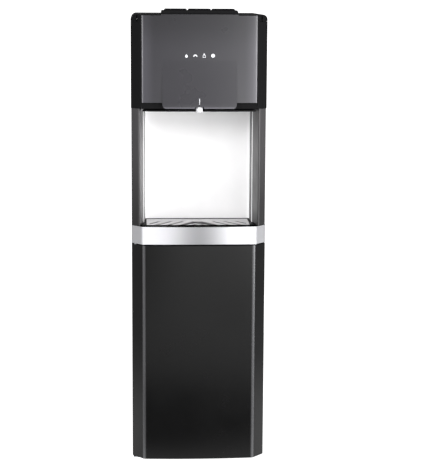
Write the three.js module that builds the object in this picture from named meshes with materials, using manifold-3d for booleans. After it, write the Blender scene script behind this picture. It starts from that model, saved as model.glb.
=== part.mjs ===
// Floor-standing bottom-load water dispenser, in millimetres.
// +Z is up, the front faces -Y and the origin is on the floor under the middle of the machine.
import * as THREE from "three";
import { mergeVertices } from "three/addons/utils/BufferGeometryUtils.js";
import Module from "manifold-3d";

const wasm = await Module();
wasm.setup();

// ---- Driving dimensions ----------------------------------------------------------------

const HEIGHT = 1050; // floor to the tops of the keys
const HEAD_HALF = 155; // half the width of the head, the widest part
const CABINET_HALF = 154.2; // half the width of the steel cabinet and the door
const FRONT = -180; // foremost plane: the tray band and the lip of the spout hood
const REAR = 180; // hindmost plane: the pads that keep the machine off the wall
const GAP = 0.4; // clearance between pieces that meet
const WALL = 3; // moulded plastic wall
const SHEET = 1.2; // folded steel sheet

// Front corners in plan: the face is a shallow arc, and each corner is cut back.
const CORNER_IN = 24.6; // how far the cut corner reaches in from the side
const CORNER_BACK = 30; // how far it reaches back from the edge of the face
const BULGE = 5; // rise of the face's arc at its middle
const ARC_STEPS = 10;

const BODY_FRONT = -133; // front edge of the steel cabinet
const BODY_REAR = 152; // outer face of the rear panel

// Heights of the horizontal joints
const FOOT_TOP = 10;
const PANEL_BOTTOM = 18; // lower edge of the side panels
const DOOR_BOTTOM = 6;
const DOOR_TOP = 513;
const BAND_BOTTOM = 516;
const BAND_TOP = 557;
const ROOF_BOTTOM = 820; // ceiling of the alcove
const HEAD_BOTTOM = 826;
const PANEL_FRONT_BOTTOM = 840; // lower edge of the head's front panel
const PANEL_FRONT_TOP = 1035;
const COVER_BOTTOM = 1022;
const HEAD_TOP = 1037.5;
const BEZEL_TOP = 1046.5;

const PANEL_FACE = -176; // front panel, at its middle
const DOOR_FACE = -178;
const BAND_FACE = FRONT;

const ALCOVE_HALF = 122.5; // half the alcove's width between the columns' back edges
const ALCOVE_BACK = -39; // front face of the white back wall
const COLUMN_BACK = -100; // where the columns end and the white liner starts

const BAY_HALF = 139; // bottle bay, inside
const BAY_BACK = 144;
const BAY_FLOOR = 25;
const BAY_CEILING = 514.5;

const HINGE = { x: -145.5, y: -146, pinR: 2.5, boreR: 2.9 };

const KEY_PITCH = 54;
const KEY_FRONT = -168;
const KEY_REAR = -112;
const INDICATOR_Z = 946;
const INDICATOR_PITCH = 19.9;

// ---- Materials -------------------------------------------------------------------------

const material = (color, roughness, metalness = 0) =>
  new THREE.MeshStandardMaterial({ color, roughness, metalness });

const blackPlastic = material(0x17171a, 0.45);
const doorPlastic = material(0x1c1c1f, 0.28);
const panelPlastic = material(0x55545a, 0.4, 0.1);
const columnPlastic = material(0x5a585c, 0.5);
const whitePlastic = material(0xf4f2f6, 0.4);
const greyPlastic = material(0xb9b8bd, 0.45);
const chrome = material(0xd8d8dc, 0.18, 1);
const paintedSteel = material(0x1b1b1e, 0.5, 0.3);
const galvanised = material(0x9a9ca0, 0.45, 0.8);
const stainless = material(0xb8babd, 0.3, 1);
const foam = material(0xe9e7e0, 0.95);
const rubber = material(0x101010, 0.9);
const redPlastic = material(0xb01818, 0.4);
const clearHose = material(0xdfe6e6, 0.35);

// ---- Shape helpers ---------------------------------------------------------------------

function solidOf(geometry) {
  const bare = geometry.clone();
  bare.deleteAttribute("normal");
  bare.deleteAttribute("uv");
  const merged = mergeVertices(bare, 1e-4);
  return new wasm.Manifold(
    new wasm.Mesh({
      numProp: 3,
      vertProperties: merged.attributes.position.array,
      triVerts: new Uint32Array(merged.index.array),
    }),
  );
}

function geometryOf(solid) {
  const { numProp, numVert, vertProperties, triVerts } = solid.getMesh();
  const position = new Float32Array(numVert * 3);
  for (let i = 0; i < numVert; i++) {
    position.set(vertProperties.subarray(i * numProp, i * numProp + 3), i * 3);
  }
  const geometry = new THREE.BufferGeometry();
  geometry.setAttribute("position", new THREE.BufferAttribute(position, 3));
  geometry.setIndex(new THREE.BufferAttribute(triVerts, 1));
  geometry.computeVertexNormals();
  return geometry;
}

const cut = (geometry, ...tools) =>
  geometryOf(tools.reduce((s, tool) => s.subtract(solidOf(tool)), solidOf(geometry)));

const join = (geometry, ...others) =>
  geometryOf(others.reduce((s, other) => s.add(solidOf(other)), solidOf(geometry)));

const common = (a, b) => geometryOf(solidOf(a).intersect(solidOf(b)));

function box([x0, x1], [y0, y1], [z0, z1]) {
  const geometry = new THREE.BoxGeometry(x1 - x0, y1 - y0, z1 - z0);
  return geometry.translate((x0 + x1) / 2, (y0 + y1) / 2, (z0 + z1) / 2);
}

const shapeOf = (points) => new THREE.Shape(points.map(([x, y]) => new THREE.Vector2(x, y)));

// The same indexed piece on the other side of the machine's middle plane.
function mirrored(geometry) {
  const copy = geometry.clone().scale(-1, 1, 1);
  const index = copy.index.array;
  for (let i = 0; i < index.length; i += 3) {
    [index[i + 1], index[i + 2]] = [index[i + 2], index[i + 1]];
  }
  return copy;
}

// A closed outline in plan, raised from z0 to z1.
function prism(points, [z0, z1]) {
  const geometry = new THREE.ExtrudeGeometry(shapeOf(points), {
    depth: z1 - z0,
    bevelEnabled: false,
  });
  return geometry.translate(0, 0, z0);
}

// A closed outline seen from the front, as x and z, run from y0 back to y1.
function prismY(points, [y0, y1]) {
  const geometry = new THREE.ExtrudeGeometry(shapeOf(points), {
    depth: y1 - y0,
    bevelEnabled: false,
  });
  return geometry.rotateX(Math.PI / 2).translate(0, y1, 0);
}

// A closed outline seen from the right, as y and z, run from x0 to x1.
function prismX(points, [x0, x1]) {
  const geometry = new THREE.ExtrudeGeometry(shapeOf(points), {
    depth: x1 - x0,
    bevelEnabled: false,
  });
  return geometry.rotateX(Math.PI / 2).rotateZ(Math.PI / 2).translate(x0, 0, 0);
}

// A round bar along Z, along Y or along X; the second radius is at the far end.
function barZ(x, y, [z0, z1], r0, r1 = r0, sides = 20) {
  const geometry = new THREE.CylinderGeometry(r1, r0, z1 - z0, sides);
  return geometry.rotateX(Math.PI / 2).translate(x, y, (z0 + z1) / 2);
}

function barY(x, [y0, y1], z, r0, r1 = r0, sides = 20) {
  const geometry = new THREE.CylinderGeometry(r1, r0, y1 - y0, sides);
  return geometry.translate(x, (y0 + y1) / 2, z);
}

// A profile of radius and height turned about a vertical axis at x, y.
function turned(profile, x, y, sides = 24) {
  const points = profile.map(([r, z]) => new THREE.Vector2(r, z));
  return new THREE.LatheGeometry(points, sides).rotateX(Math.PI / 2).translate(x, y, 0);
}

// A round tube along a smooth curve through the given points.
function hose(points, radius, steps) {
  const curve = new THREE.CatmullRomCurve3(points.map((p) => new THREE.Vector3(...p)));
  const ring = new THREE.Shape();
  ring.absarc(0, 0, radius, 0, 2 * Math.PI);
  return new THREE.ExtrudeGeometry(ring, {
    steps,
    curveSegments: 4,
    extrudePath: curve,
    bevelEnabled: false,
  });
}

// Plan outline of a front part: an arched face, two cut corners and straight sides to the back.
function frontOutline(half, face, back, inset = 0) {
  const edge = half - CORNER_IN;
  const points = [[-half + inset, back]];
  points.push([-half + inset, face + BULGE + CORNER_BACK - inset / 2]);
  for (let i = 0; i <= ARC_STEPS; i++) {
    const t = (2 * i) / ARC_STEPS - 1;
    points.push([t * (edge - inset * 0.6), face + BULGE * t * t + inset]);
  }
  points.push([half - inset, face + BULGE + CORNER_BACK - inset / 2]);
  points.push([half - inset, back]);
  return points;
}

const dispenser = new THREE.Group();

function add(name, geometry, look, parent = dispenser) {
  const mesh = new THREE.Mesh(geometry, look);
  mesh.name = name;
  parent.add(mesh);
  return mesh;
}

// ---- Base, feet and steel cabinet ------------------------------------------------------

const BASE_HALF = CABINET_HALF - 1.2;

function basePan() {
  const outer = box([-BASE_HALF, BASE_HALF], [BODY_FRONT, 148], [FOOT_TOP, PANEL_BOTTOM]);
  const inner = [-BASE_HALF + 14, BASE_HALF - 14];
  const underside = box(inner, [BODY_FRONT + 14, 134], [FOOT_TOP - 1, FOOT_TOP + 7]);
  return cut(outer, underside);
}

function foot(x, y) {
  const top = FOOT_TOP - GAP;
  return turned([[0, 0], [13, 0], [15, 2], [15, 6], [9, top], [0, top]], x, y, 16);
}

const LOUVRES = { x: 60, z: 570, rows: 8, pitch: 14, gap: 5 }; // cooling slots at the back
const DRAIN = { x: 100, z: 760 };
const GLAND = { x: -110, z: 760 };

const FEET = [
  ["foot_front_left", -128, -100],
  ["foot_front_right", 128, -100],
  ["foot_rear_left", -128, 124],
  ["foot_rear_right", 128, 124],
];

// A folded steel side with a return flange at its front and at its rear.
function sidePanel(side) {
  const out = CABINET_HALF;
  const flange = 10;
  const rear = BODY_REAR - SHEET - GAP;
  const profile = [
    [out, BODY_FRONT],
    [out, rear],
    [out - flange, rear],
    [out - flange, rear - SHEET],
    [out - SHEET, rear - SHEET],
    [out - SHEET, BODY_FRONT + SHEET],
    [out - flange, BODY_FRONT + SHEET],
    [out - flange, BODY_FRONT],
  ];
  const placed = profile.map(([x, y]) => [side * x, y]);
  return prism(placed, [PANEL_BOTTOM + GAP, COVER_BOTTOM - GAP]);
}

function rearPanel() {
  const half = CABINET_HALF - 1.7;
  const z = [PANEL_BOTTOM + 1, COVER_BOTTOM - GAP];
  const plate = box([-half, half], [BODY_REAR - SHEET, BODY_REAR], z);
  const through = [BODY_REAR - 4, BODY_REAR + 2];
  const tools = [
    box([-112, -48], through, [906, 944]),
    barY(DRAIN.x, through, DRAIN.z, 9),
    barY(GLAND.x, through, GLAND.z, 8),
  ];
  for (let row = 0; row < LOUVRES.rows; row++) {
    const bottom = LOUVRES.z + row * LOUVRES.pitch;
    for (const x of [-LOUVRES.x, LOUVRES.x]) {
      tools.push(box([x - 45, x + 45], through, [bottom, bottom + LOUVRES.gap]));
    }
  }
  return cut(plate, ...tools);
}

// ---- Bottle bay ------------------------------------------------------------------------

const BAY_WALL = 2.5;
const HOSE_PORT = { x: 112, y: 118 };

const bayOutside = (z) =>
  box(
    [-BAY_HALF - BAY_WALL, BAY_HALF + BAY_WALL],
    [BODY_FRONT + SHEET + GAP, BAY_BACK + BAY_WALL],
    z,
  );

function bayLiner() {
  const outer = bayOutside([PANEL_BOTTOM + GAP, BAY_CEILING]);
  const inner = box([-BAY_HALF, BAY_HALF], [BODY_FRONT - 5, BAY_BACK], [BAY_FLOOR, BAY_CEILING + 1]);
  return cut(outer, inner);
}

// Lies on the liner and lets the hose through.
function bayCeiling() {
  const z = [BAY_CEILING + GAP, BAY_CEILING + GAP + BAY_WALL];
  return cut(bayOutside(z), barZ(HOSE_PORT.x, HOSE_PORT.y, [z[0] - 1, z[1] + 1], 6));
}

// A ribbed disc with a rim that centres the bottle.
function bottlePad() {
  const z = BAY_FLOOR + GAP;
  return turned([[0, z], [128, z], [128, z + 7], [124, z + 7], [122, z + 3], [0, z + 3]], 0, 3, 40);
}

// The probe hangs in the rear corner beside the bottle: a long tube under a cap.
const PROBE_BOTTOM = 70;
const PROBE_CAP_BOTTOM = 440;
const PROBE_CAP_TOP = 472;
const PROBE_R = 7;
const PROBE_CAP_R = 20;

function probe() {
  return turned(
    [
      [0, PROBE_BOTTOM],
      [PROBE_R - 3, PROBE_BOTTOM],
      [PROBE_R, PROBE_BOTTOM + 12],
      [PROBE_R, PROBE_CAP_BOTTOM],
      [PROBE_CAP_R, PROBE_CAP_BOTTOM],
      [PROBE_CAP_R, PROBE_CAP_TOP - 8],
      [12, PROBE_CAP_TOP - 6],
      [6, PROBE_CAP_TOP],
      [0, PROBE_CAP_TOP],
    ],
    HOSE_PORT.x,
    HOSE_PORT.y,
  );
}

// A fork fixed to the bay's back wall; the probe's cap rests on it.
function probeHolder() {
  const z = [PROBE_CAP_BOTTOM - 7, PROBE_CAP_BOTTOM - GAP];
  const { x, y } = HOSE_PORT;
  const plate = box([x - 16, x + 16], [y - 10, BAY_BACK - GAP], z);
  const web = box([x - 16, x + 16], [BAY_BACK - 3.5, BAY_BACK - GAP], [z[0] - 22, z[1]]);
  const room = PROBE_R + 1;
  const throat = box([x - room, x + room], [y - 12, y + room], [z[0] - 1, z[1] + 1]);
  return cut(join(plate, web), throat);
}

function probeHose() {
  const { x, y } = HOSE_PORT;
  const rise = BAY_CEILING - PROBE_CAP_TOP;
  const points = [
    [x, y, PROBE_CAP_TOP + GAP],
    [x, y, PROBE_CAP_TOP + rise * 0.4],
    [x, y, PROBE_CAP_TOP + rise * 0.8],
    [x, y, BAY_CEILING + 20],
  ];
  return hose(points, 4, 8);
}

// ---- Shelf, tray deck, band, tray and grille -------------------------------------------

const SHELF_Z = 542;

const SHELF_HALF = CABINET_HALF - SHEET - GAP;

// Carries the compressor, the hot tank and the pump.
function midShelf() {
  return box([-SHELF_HALF, SHELF_HALF], [ALCOVE_BACK + 8, BODY_REAR - 4], [SHELF_Z - SHEET, SHELF_Z]);
}

// Carries the cold tank in its foam.
function tankShelf() {
  const z = [ROOF_BOTTOM + 1, ROOF_BOTTOM + 1 + SHEET];
  return box([-SHELF_HALF, SHELF_HALF], [ALCOVE_BACK + 3, BODY_REAR - 4], z);
}

const WELL_HALF = 121; // recess that the drip tray sits in
const WELL_FRONT = -166;
const WELL_BACK = ALCOVE_BACK - 2;
const WELL_FLOOR = 529;

function trayDeck() {
  const z = [BAND_BOTTOM + 3, BAND_TOP - 1.5];
  const front = prism(frontOutline(CABINET_HALF, BAND_FACE, BODY_FRONT - GAP, WALL + 1), z);
  const half = CABINET_HALF - SHEET - GAP;
  const back = box([-half, half], [BODY_FRONT + SHEET + GAP, ALCOVE_BACK + 5], z);
  const neck = box([-143, 143], [BODY_FRONT - 5, BODY_FRONT + 5], z);
  const well = box([-WELL_HALF, WELL_HALF], [WELL_FRONT, WELL_BACK], [WELL_FLOOR, BAND_TOP + 1]);
  const under = box([-half + 12, half - 12], [WELL_FRONT + 8, WELL_BACK], [BAND_BOTTOM, WELL_FLOOR - WALL]);
  const pivot = barZ(HINGE.x, HINGE.y, [BAND_BOTTOM, BAND_BOTTOM + 12], HINGE.pinR + GAP);
  return cut(join(front, back, neck), well, under, pivot);
}

function trayBand() {
  const half = CABINET_HALF + 0.2;
  const outer = frontOutline(half, BAND_FACE, BODY_FRONT - GAP);
  const inner = frontOutline(half, BAND_FACE, BODY_FRONT + 5, WALL);
  return cut(prism(outer, [BAND_BOTTOM, BAND_TOP]), prism(inner, [BAND_BOTTOM - 1, BAND_TOP + 1]));
}

const TRAY = {
  half: WELL_HALF - 1.5,
  front: WELL_FRONT + 1.5,
  back: WELL_BACK - 1.5,
  floor: WELL_FLOOR + GAP,
  top: 550,
};

function dripTray() {
  const { half, front, back, floor, top } = TRAY;
  const outer = box([-half, half], [front, back], [floor, top]);
  const inner = box([-half + 2, half - 2], [front + 2, back - 2], [floor + 2, top + 1]);
  return cut(outer, inner);
}

const GRILLE = { thick: 4.6, pitch: 28, slot: 11, sweep: 53, rearBorder: 36, border: 7 };

// A flat plate on the tray, with slots that run out and forward from the middle as chevrons.
function dripGrille() {
  const { half, front, back, top } = TRAY;
  const { thick, pitch, slot, sweep, rearBorder, border } = GRILLE;
  const plate = box([-half, half], [front, back], [top + GAP, top + GAP + thick]);
  const [y0, y1] = [front + border, back - rearBorder];
  const z = [top - 1, top + thick + 1];
  const tools = [];
  for (let x = -pitch; x < half; x += pitch) {
    const stripe = [[x, y1], [x + slot, y1], [x + slot + sweep, y0], [x + sweep, y0]];
    const right = common(prism(stripe, z), box([0, half - border], [y0, y1], z));
    tools.push(right, mirrored(right));
  }
  return cut(plate, ...tools);
}

// ---- Alcove ----------------------------------------------------------------------------

function column(side) {
  const outline = [
    [CABINET_HALF - 1.1, -143],
    [CABINET_HALF - 1.1, BODY_FRONT - GAP],
    [CABINET_HALF - 10.8, BODY_FRONT - GAP],
    [ALCOVE_HALF + 6, COLUMN_BACK],
    [ALCOVE_HALF, COLUMN_BACK],
    [135.2, -164],
  ];
  const hollow = [
    [CABINET_HALF - 4.1, -141.8],
    [CABINET_HALF - 4.1, BODY_FRONT - 3.4],
    [CABINET_HALF - 12.2, BODY_FRONT - 3.4],
    [ALCOVE_HALF + 6.5, COLUMN_BACK - 6],
    [ALCOVE_HALF + 4.3, COLUMN_BACK - 6],
    [136.6, -158.5],
  ];
  const z = [BAND_TOP + GAP, HEAD_BOTTOM - GAP];
  const mirror = (points) => points.map(([x, y]) => [side * x, y]);
  return cut(prism(mirror(outline), z), prism(mirror(hollow), [z[0] - 1, z[1] + 1]));
}

// White back wall with two wings that run forward to the columns.
function alcoveLiner() {
  const half = ALCOVE_HALF + 3;
  const t = 2.5;
  const outline = [
    [-half - t, COLUMN_BACK + GAP],
    [-half, COLUMN_BACK + GAP],
    [-half, ALCOVE_BACK],
    [half, ALCOVE_BACK],
    [half, COLUMN_BACK + GAP],
    [half + t, COLUMN_BACK + GAP],
    [half + t, ALCOVE_BACK + t],
    [-half - t, ALCOVE_BACK + t],
  ];
  return prism(outline, [BAND_TOP - 1, ROOF_BOTTOM - GAP]);
}

const SPOUT = { y: -168.6, bottom: 818.5, top: 830.5, r: 8.4 };

function alcoveRoof() {
  const outline = [
    [-126, ALCOVE_BACK + 2.5],
    [-120, COLUMN_BACK - 2],
    [-129, -166],
    [-100, -172],
    [100, -172],
    [129, -166],
    [120, COLUMN_BACK - 2],
    [126, ALCOVE_BACK + 2.5],
  ];
  const plate = prism(outline, [ROOF_BOTTOM, HEAD_BOTTOM - 2.5]);
  return cut(plate, barZ(0, SPOUT.y, [ROOF_BOTTOM - 1, HEAD_BOTTOM], SPOUT.r + 1.2));
}

// ---- Head ------------------------------------------------------------------------------

const SHELL_FRONT = -168; // wall behind the front panel, seen below it as the chin

// Plan outline of the head: cut corners, and a flat front set back for the panel.
function headOutline(back) {
  const cornerY = PANEL_FACE + BULGE + CORNER_BACK;
  const edge = HEAD_HALF - CORNER_IN + 0.6;
  return [
    [-HEAD_HALF, back],
    [-HEAD_HALF, cornerY],
    [-edge, PANEL_FACE + BULGE],
    [-edge + 0.4, SHELL_FRONT],
    [edge - 0.4, SHELL_FRONT],
    [edge, PANEL_FACE + BULGE],
    [HEAD_HALF, cornerY],
    [HEAD_HALF, back],
  ];
}

function headShell() {
  const back = BODY_FRONT - GAP;
  const z = [HEAD_BOTTOM, COVER_BOTTOM - GAP];
  const half = HEAD_HALF - WALL;
  const edge = HEAD_HALF - CORNER_IN - 2;
  const inner = [
    [-half, back + 5],
    [-half, -140],
    [-edge, SHELL_FRONT + WALL],
    [edge, SHELL_FRONT + WALL],
    [half, -140],
    [half, back + 5],
  ];
  const spoutHole = barZ(0, SPOUT.y, [HEAD_BOTTOM - 1, SPOUT.top + 1], SPOUT.r + 1);
  return cut(prism(headOutline(back), z), prism(inner, [z[0] - 1, z[1] + 1]), spoutHole);
}

const COVER_ROUND = 12;

// Points of a quarter circle round cx, cz, from one angle to another in degrees.
function arc(cx, cz, r, from, to, steps = 6) {
  const points = [];
  for (let i = 0; i <= steps; i++) {
    const a = THREE.MathUtils.degToRad(from + ((to - from) * i) / steps);
    points.push([cx + r * Math.cos(a), cz + r * Math.sin(a)]);
  }
  return points;
}

function topCover() {
  const z = [COVER_BOTTOM, HEAD_TOP];
  const [x, top] = [HEAD_HALF - COVER_ROUND, HEAD_TOP - COVER_ROUND];
  const across = prismY(
    [
      [-HEAD_HALF, COVER_BOTTOM],
      [HEAD_HALF, COVER_BOTTOM],
      ...arc(x, top, COVER_ROUND, 0, 90),
      ...arc(-x, top, COVER_ROUND, 90, 180),
    ],
    [FRONT, REAR],
  );
  const cover = common(prism(headOutline(BODY_REAR), z), across);
  const hollow = box([-142, 142], [-160, BODY_REAR - 8], [COVER_BOTTOM - 1, HEAD_TOP - WALL]);
  const keyWell = box([-84, 84], [KEY_FRONT - 1, KEY_REAR - 2], [COVER_BOTTOM - 1, HEAD_TOP + 1]);
  return cut(cover, hollow, keyWell);
}

const BEZEL_HALF = 87;

function keyBezel() {
  const block = prismY(
    [
      [-BEZEL_HALF, HEAD_TOP + GAP],
      [BEZEL_HALF, HEAD_TOP + GAP],
      [BEZEL_HALF - 2, BEZEL_TOP],
      [-BEZEL_HALF + 2, BEZEL_TOP],
    ],
    [KEY_FRONT - 2.5, KEY_REAR + 8],
  );
  const wells = [-1, 0, 1].map((i) => {
    const x = i * KEY_PITCH;
    return box([x - 26.2, x + 26.2], [KEY_FRONT - 1, KEY_REAR + 2], [HEAD_TOP - 1, BEZEL_TOP + 1]);
  });
  return cut(block, ...wells);
}

// A rocking key that pivots at its rear edge, with a stem that works the valve.
function key(x) {
  const cap = prismY(
    [
      [x - 25.6, HEAD_TOP + 2],
      [x + 25.6, HEAD_TOP + 2],
      [x + 25.6, BEZEL_TOP],
      [x + 23.6, HEIGHT],
      [x - 23.6, HEIGHT],
      [x - 25.6, BEZEL_TOP],
    ],
    [KEY_FRONT, KEY_REAR],
  );
  const stem = box([x - 4, x + 4], [-150, -142], [HEAD_TOP - 16, HEAD_TOP + 3]);
  return join(cap, stem);
}

const LOCK = { y0: -150, y1: -136, half: 7 };

// The hot key has a pocket for its child-lock slider.
function hotKey() {
  const x = -KEY_PITCH;
  const half = LOCK.half + GAP;
  const pocket = box([x - half, x + half], [LOCK.y0 - GAP, LOCK.y1 + 5], [HEIGHT - 3, HEIGHT + 1]);
  return cut(key(x), pocket);
}

function hotLock() {
  const x = -KEY_PITCH;
  return box([x - LOCK.half, x + LOCK.half], [LOCK.y0, LOCK.y1], [HEIGHT - 3 + GAP, HEIGHT - 0.2]);
}

// How far the arched face of the head has fallen back at x.
const panelFall = (x) => BULGE * (x / (HEAD_HALF - CORNER_IN)) ** 2;

// An arched face in plan, from one end to the other, moved forward by a given amount.
const faceArc = (half, forward = 0) =>
  Array.from({ length: ARC_STEPS + 1 }, (_, i) => {
    const x = half * ((2 * i) / ARC_STEPS - 1);
    return [x, PANEL_FACE + panelFall(x) - forward];
  });

// The satin panel: an arched face on a flat back, with a raised edge under the keys.
function frontPanel() {
  const half = HEAD_HALF - CORNER_IN;
  const back = SHELL_FRONT - GAP;
  const outline = [...faceArc(half), [half, back], [-half, back]];
  const slab = prism(outline, [PANEL_FRONT_BOTTOM, HEAD_TOP]);
  const shoulder = (x0, x1) => box([x0, x1], [FRONT, -160], [PANEL_FRONT_TOP, HEAD_TOP + 1]);
  const holes = INDICATORS.map(([, x]) => barY(x, [FRONT, -160], INDICATOR_Z, 5.6, 5.6, 12));
  return cut(slab, shoulder(-140, -BEZEL_HALF), shoulder(BEZEL_HALF, 140), ...holes);
}

const INDICATORS = [
  ["indicator_heating", -1.5 * INDICATOR_PITCH],
  ["indicator_ready", -0.5 * INDICATOR_PITCH],
  ["indicator_bottle", 0.5 * INDICATOR_PITCH],
  ["indicator_cooling", 1.5 * INDICATOR_PITCH],
];

const indicator = (x) => barY(x, [PANEL_FACE + 0.3, SHELL_FRONT - GAP], INDICATOR_Z, 5.1, 5.1, 12);

const HOOD = { half: 84, bottom: 827, top: 900, corner: 9 };
const MARKER = { half: 1.3, z0: 836, z1: 850 };

// The hood grows out of the front panel down to a lip over the spout.
function spoutHood() {
  const { half, bottom, top, corner } = HOOD;
  const proud = PANEL_FACE - FRONT;
  const plan = [...faceArc(half, proud), ...faceArc(half, GAP).reverse()];
  const outline = [
    [half, top],
    [-half, top],
    ...arc(-half + corner, bottom + corner, corner, 180, 270, 4),
    ...arc(half - corner, bottom + corner, corner, 270, 360, 4),
  ];
  const slab = common(prism(plan, [bottom, top]), prismY(outline, [FRONT - 1, PANEL_FACE + BULGE]));
  const thin = PANEL_FACE - 1;
  const wedge = [[FRONT - 1, bottom + 12], [thin, top + 1], [FRONT - 1, top + 1]];
  const shave = prismX(wedge, [-half - 1, half + 1]);
  const [slotHalf, y] = [MARKER.half + 0.3, [FRONT - 1, PANEL_FACE]];
  const slot = box([-slotHalf, slotHalf], y, [MARKER.z0 - 0.3, MARKER.z1 + 0.3]);
  const notchHalf = SPOUT.r + 1.2;
  const notch = box([-notchHalf, notchHalf], [FRONT - 1, PANEL_FACE + 1], [bottom - 1, bottom + 4]);
  return cut(slab, shave, slot, notch);
}

function spoutMarker() {
  return box([-MARKER.half, MARKER.half], [FRONT + 1, PANEL_FACE - GAP], [MARKER.z0, MARKER.z1]);
}

// A tapered nozzle.
function spout() {
  const { y, bottom, top, r } = SPOUT;
  return turned([[5, bottom], [r - 0.8, bottom], [r, top], [5, top], [5, bottom]], 0, y);
}

// ---- Cooling, heating and pumping ------------------------------------------------------

function compressor() {
  const z = SHELF_Z + 14;
  const wall = 9;
  const shell = [[0, z], [52, z], [60, z + 12], [62, z + 60], [60, z + 120], [48, z + 146], [24, z + 156]];
  const port = [[6, z + 158], [6, z + 147]];
  const crown = [[24, z + 146], [41, z + 139], [51, z + 118], [53, z + 60]];
  const inside = [...crown, [51, z + 14], [45, z + wall], [0, z + wall]];
  const can = turned([...shell, ...port, ...inside], -68, 62, 24);
  const plate = box([-138, 2], [18, 106], [z - 6, z + 3]);
  const legs = [[-126, 28], [-10, 28], [-126, 96], [-10, 96]].map(([x, y]) =>
    barZ(x, y, [SHELF_Z + GAP, z - 4], 8, 8, 12),
  );
  return join(can, plate, ...legs);
}

function hotTank() {
  const z = 602;
  const shell = [[0, z], [38, z], [46, z + 8], [46, z + 132], [38, z + 140], [8, z + 140]];
  const inside = [[8, z + 138], [37, z + 138], [44, z + 131], [44, z + 9], [37, z + 2], [0, z + 2]];
  const legs = [[118, 58], [73, 84], [73, 32]].map(([x, y]) => barZ(x, y, [SHELF_Z + GAP, z + 1], 4, 4, 8));
  return join(turned([...shell, ...inside], 88, 58, 24), ...legs);
}

function pump() {
  const motor = box([44, 116], [-27, 7], [SHELF_Z + GAP, SHELF_Z + 40]);
  return join(motor, box([116, 132], [-22, 2], [SHELF_Z + 8, SHELF_Z + 34]));
}

const COLD = { x: 0, y: 30, r: 76, z0: 850, z1: 1008 };

function coldTank() {
  const { x, y, r, z0, z1 } = COLD;
  const shell = [[0, z0], [r - 12, z0], [r, z0 + 10], [r, z1]];
  const inside = [[r - 2, z1], [r - 2, z0 + 11], [r - 13, z0 + 2], [0, z0 + 2]];
  return turned([...shell, ...inside], x, y, 28);
}

// Foam block moulded round the cold tank; its open top is closed by the machine's cover.
function coldFoam() {
  const { x, y, r, z0, z1 } = COLD;
  const block = box([-112, 112], [-82, 142], [ROOF_BOTTOM + 4, z1]);
  return cut(block, barZ(x, y, [z0 - 1, z1 + 1], r + 1, r + 1, 28));
}

function valveBlock() {
  const body = box([-80, 80], [SHELL_FRONT + WALL + GAP, -126], [968, 1004]);
  const seats = [-1, 0, 1].map((i) => barZ(i * KEY_PITCH, -146, [1002, 1018], 9, 9, 16));
  return join(body, ...seats);
}

// ---- Back of the machine ---------------------------------------------------------------

const COIL = { half: 122, y0: 158, y1: 163, z0: 70, z1: 500, passes: 9, wires: 13 };

// A flat serpentine of tube with vertical wires welded across it.
function condenser() {
  const { half, y0, y1, z0, z1, passes, wires } = COIL;
  const step = (z1 - z0) / (passes - 1);
  const bars = [];
  for (let i = 0; i < passes; i++) {
    const z = z0 + i * step;
    bars.push(box([-half, half], [y0, y1], [z - 2.5, z + 2.5]));
    const x = i % 2 ? -half : half;
    if (i < passes - 1) bars.push(box([x - 2.5, x + 2.5], [y0, y1], [z - 2.5, z + step + 2.5]));
  }
  for (let i = 1; i < wires; i++) {
    const x = -half + (i * 2 * half) / wires;
    bars.push(box([x - 1, x + 1], [y1 - 1, y1 + 1.6], [z0 - 12, z1 + 12]));
  }
  return join(...bars);
}

// A moulded clip that holds the coil's edge and ends in a pad against the wall.
function wallSpacer(side) {
  const z = [270, 300];
  const span = (x0, x1) => (side > 0 ? [x0, x1] : [-x1, -x0]);
  const block = box(span(COIL.half - 6, COIL.half + 21), [BODY_REAR + GAP, REAR], z);
  const mouth = box(span(COIL.half - 7, COIL.half + 3), [COIL.y0 - GAP, COIL.y1 + 2], [z[0] - 1, z[1] + 1]);
  return cut(block, mouth);
}

const SWITCH_X = { switch_hot: -96, switch_cold: -64 };

function switchPlate() {
  const plate = box([-118, -42], [BODY_REAR + GAP, BODY_REAR + 3], [900, 950]);
  const body = box([-111, -49], [BODY_REAR - 3, BODY_REAR + 1], [907, 943]);
  const wells = Object.values(SWITCH_X).map((x) =>
    box([x - 8.5, x + 8.5], [BODY_REAR - 5, BODY_REAR + 5], [912, 938]),
  );
  return cut(join(plate, body), ...wells);
}

const ROCKER_TILT = THREE.MathUtils.degToRad(8);

// A rocker at rest with its upper half pressed in.
function rocker(name) {
  const wedge = prismX([[-2, -11.5], [2.4, -11.5], [1.2, 0], [2.4, 11.5], [-2, 11.5]], [-7.5, 7.5]);
  const mesh = add(name, wedge, blackPlastic);
  mesh.position.set(SWITCH_X[name], BODY_REAR + 2.2, 925);
  mesh.rotation.x = ROCKER_TILT;
  return mesh;
}

function drainSpigot() {
  const tube = barY(DRAIN.x, [BODY_REAR - 30, BODY_REAR + 10], DRAIN.z, 7, 7, 16);
  const collar = barY(DRAIN.x, [BODY_REAR + GAP, BODY_REAR + 3], DRAIN.z, 12, 12, 16);
  const bore = barY(DRAIN.x, [BODY_REAR - 31, BODY_REAR + 11], DRAIN.z, 4.5, 4.5, 12);
  return cut(join(tube, collar), bore);
}

function drainCap() {
  const cap = barY(DRAIN.x, [BODY_REAR + 4, BODY_REAR + 16], DRAIN.z, 11, 10, 20);
  return cut(cap, barY(DRAIN.x, [BODY_REAR + 3, BODY_REAR + 12], DRAIN.z, 7.6, 7.6, 20));
}

// Where the mains lead enters: a flanged bush with a blind throat.
function cordGland() {
  const { x, z } = GLAND;
  const flange = barY(x, [BODY_REAR + GAP, BODY_REAR + 4], z, 12, 11, 20);
  const neck = barY(x, [BODY_REAR - 6, BODY_REAR + 14], z, 7.2, 6, 20);
  return cut(join(flange, neck), barY(x, [BODY_REAR - 2, BODY_REAR + 16], z, 4, 4, 12));
}

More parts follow.
